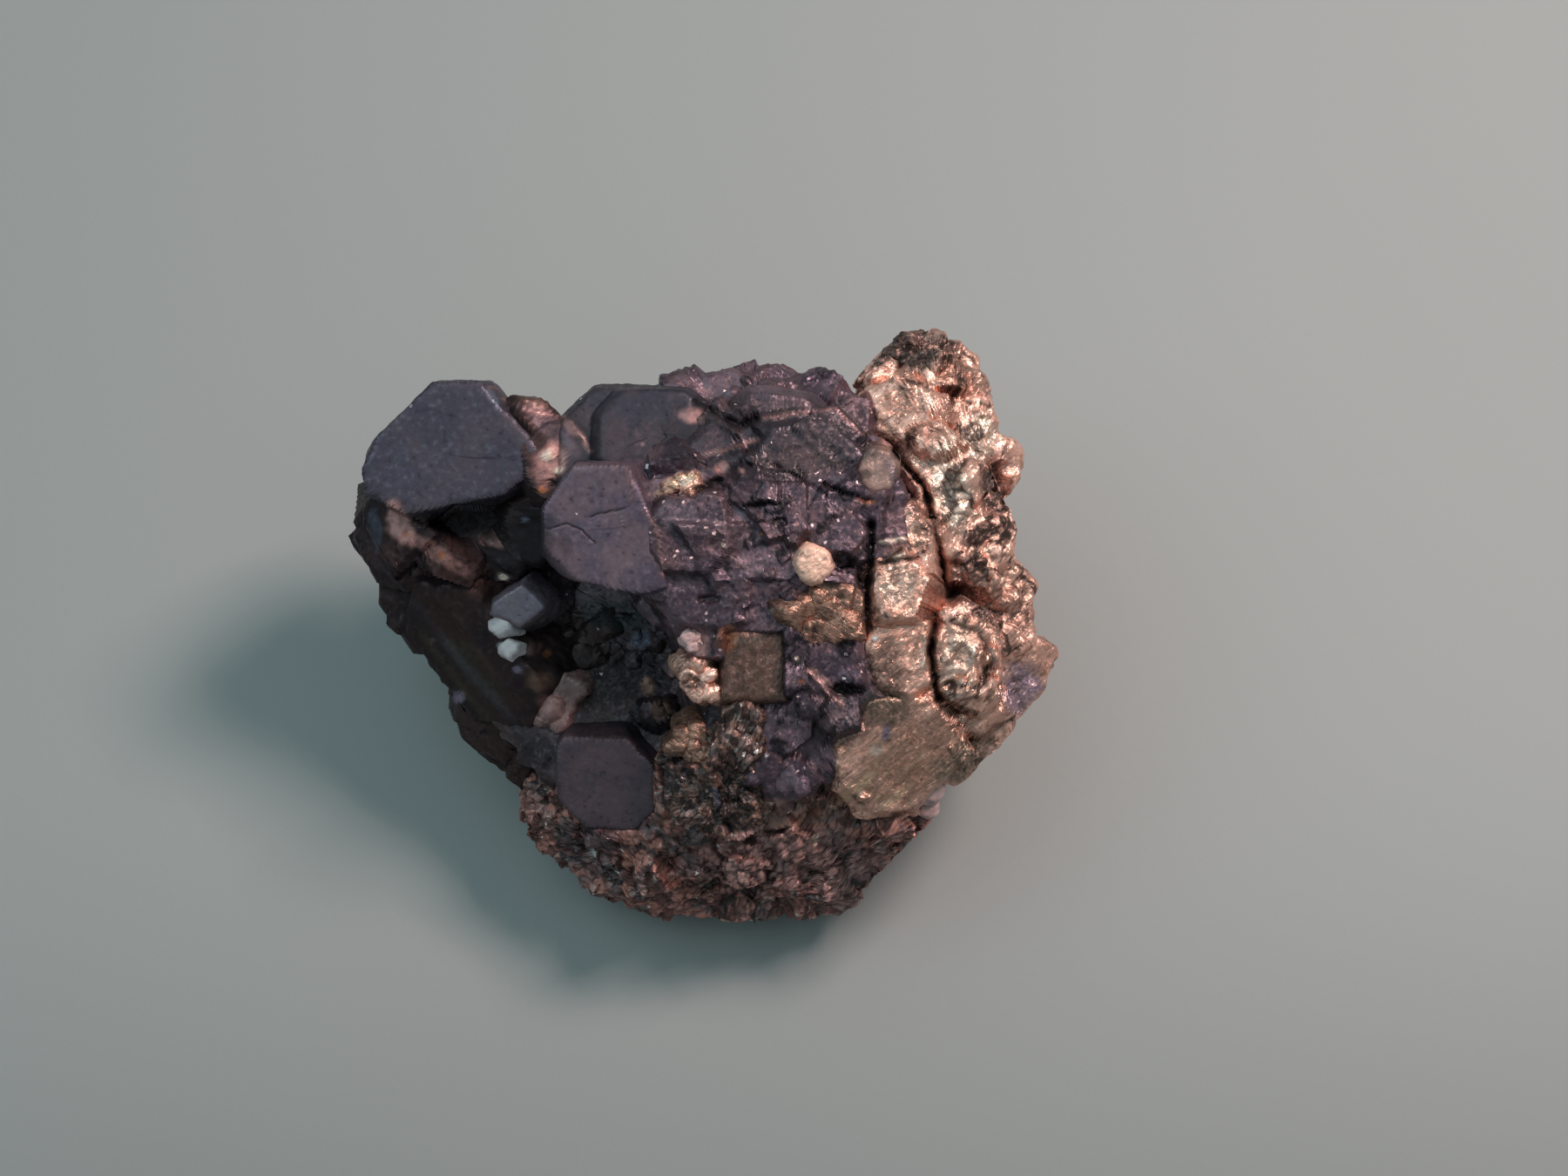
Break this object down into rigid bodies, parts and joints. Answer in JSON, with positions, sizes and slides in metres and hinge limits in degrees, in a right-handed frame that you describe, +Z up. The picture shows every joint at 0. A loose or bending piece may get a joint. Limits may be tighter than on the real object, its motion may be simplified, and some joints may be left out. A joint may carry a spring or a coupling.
{
  "type": "galena specimen with pyrite",
  "caption": "Free-standing mineral hand specimen: dark blocky galena crystals crusted on one side with brassy pyrite, on a granular sphalerite rim, resting on a flat foot.",
  "frame": {"origin": "the surface the specimen stands on, under the middle of its bounding box", "axes": "+X along the longest side, to the right as the front face is seen; +Z up, out of the surface it stands on; -Y towards the viewer, with the broad front face leaning back 65 degrees"},
  "size_m": [0.0472, 0.0372, 0.0283],
  "materials": {
    "galena": "satin metallic, lead grey with a bluish tarnish",
    "pyrite": "brassy metallic, bronze and olive tarnish",
    "sphalerite": "resinous, dark brown, granular",
    "calcite": "pale pinkish, pearly",
    "quartz": "pale grey, glassy"
  },
  "bodies": {
    "root": {"galena_mass": "galena", "pyrite_crust": "pyrite", "sphalerite_rim": "sphalerite", "pyrite_disk": "pyrite", "pyrite_button": "pyrite", "pyrite_block": "pyrite", "pyrite_cluster": "pyrite", "pyrite_grain": "pyrite", "pyrite_patch": "pyrite", "pyrite_streak": "pyrite", "calcite_patch": "calcite", "calcite_vein": "calcite", "calcite_ledge": "calcite", "quartz_west": "quartz"}
  },
  "joints": []
}
